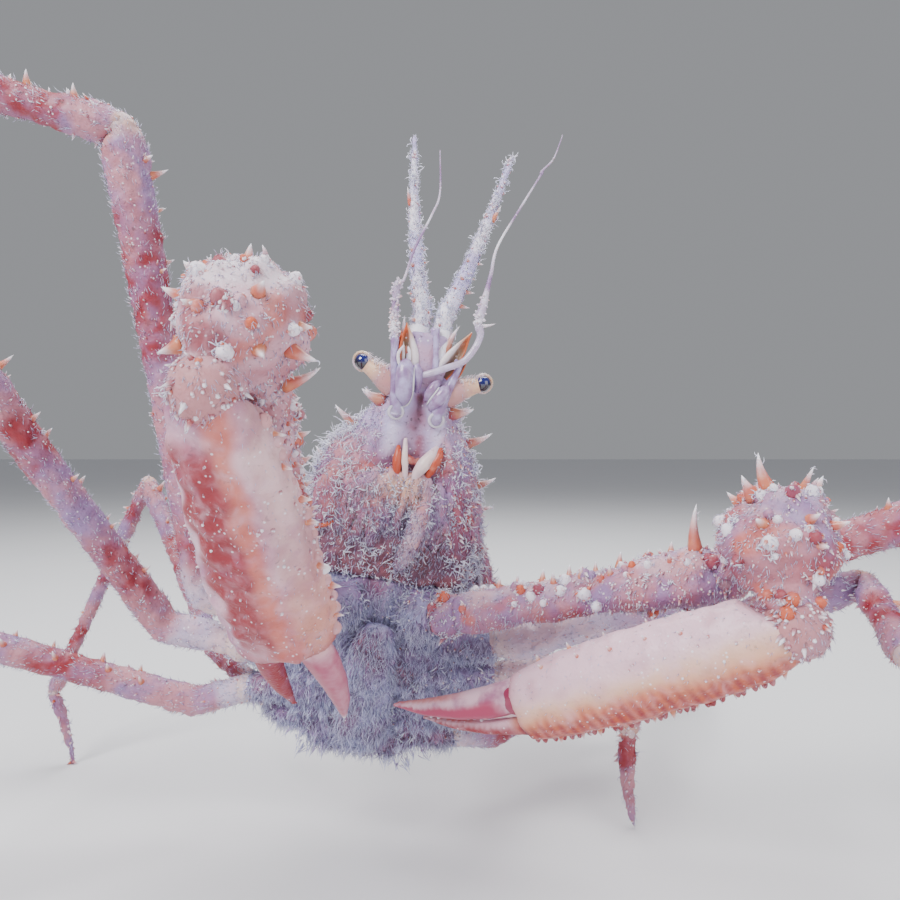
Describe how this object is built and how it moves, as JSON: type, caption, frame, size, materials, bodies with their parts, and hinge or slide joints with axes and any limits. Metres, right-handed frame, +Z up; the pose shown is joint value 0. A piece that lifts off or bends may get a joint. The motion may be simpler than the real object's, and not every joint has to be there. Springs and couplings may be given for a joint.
{
  "type": "naxioides robillardi spider crab",
  "caption": "Life-size spiny spider crab, body upright, with long diverging horns, slender banded legs and spiny folded claws, standing on the tips of its toes.",
  "frame": {"origin": "middle of the model's box, at the floor that the toes stand on", "axes": "+X towards the crab's left side, +Y towards its back, -Y towards the viewer and its underside, +Z up"},
  "size_m": [0.336, 0.1834, 0.1385],
  "materials": {
    "shell": "spiny lilac shell under short curled bristles",
    "underside": "pale lilac breastplate, hip joints and tail under dense pale bristles",
    "horn": "pale lilac horn and eye stalks",
    "eye": "glossy blue-black cornea",
    "feeler": "cream feelers",
    "mouthpart": "cream and brown mouth plates",
    "claw": "pink and cream claw with red bands and orange tubercles",
    "finger": "smooth magenta finger with a white tip",
    "leg": "lilac leg with dark red bands and white flecks",
    "toe": "dark tapered toe"
  },
  "bodies": {
    "root": {"carapace": "shell", "thorax": "underside", "abdomen": "underside", "horn_left": "horn", "eyestalk_left": "horn", "cornea_left": "eye", "antenna_left": "feeler", "antennule_left": "feeler", "maxilliped_left": "mouthpart", "claw_left_base": "claw", "claw_left_merus": "claw", "claw_left_carpus": "claw", "claw_left_palm": "claw", "claw_left_finger": "finger", "leg_p2_left_merus": "leg", "leg_p2_left_carpus": "leg", "leg_p2_left_propodus": "leg", "leg_p2_left_dactyl": "toe", "leg_p3_left_merus": "leg", "leg_p3_left_carpus": "leg", "leg_p3_left_propodus": "leg", "leg_p3_left_dactyl": "toe", "leg_p4_left_merus": "leg", "leg_p4_left_carpus": "leg", "leg_p4_left_propodus": "leg", "leg_p4_left_dactyl": "toe", "leg_p5_left_merus": "leg", "leg_p5_left_carpus": "leg", "leg_p5_left_propodus": "leg", "leg_p5_left_dactyl": "toe", "horn_right": "horn", "eyestalk_right": "horn", "cornea_right": "eye", "antenna_right": "feeler", "antennule_right": "feeler", "maxilliped_right": "mouthpart", "claw_right_base": "claw", "claw_right_merus": "claw", "claw_right_carpus": "claw", "claw_right_palm": "claw", "claw_right_finger": "finger", "leg_p2_right_merus": "leg", "leg_p2_right_carpus": "leg", "leg_p2_right_propodus": "leg", "leg_p2_right_dactyl": "toe", "leg_p3_right_merus": "leg", "leg_p3_right_carpus": "leg", "leg_p3_right_propodus": "leg", "leg_p3_right_dactyl": "toe", "leg_p4_right_merus": "leg", "leg_p4_right_carpus": "leg", "leg_p4_right_propodus": "leg", "leg_p4_right_dactyl": "toe", "leg_p5_right_merus": "leg", "leg_p5_right_carpus": "leg", "leg_p5_right_propodus": "leg", "leg_p5_right_dactyl": "toe"}
  },
  "joints": []
}
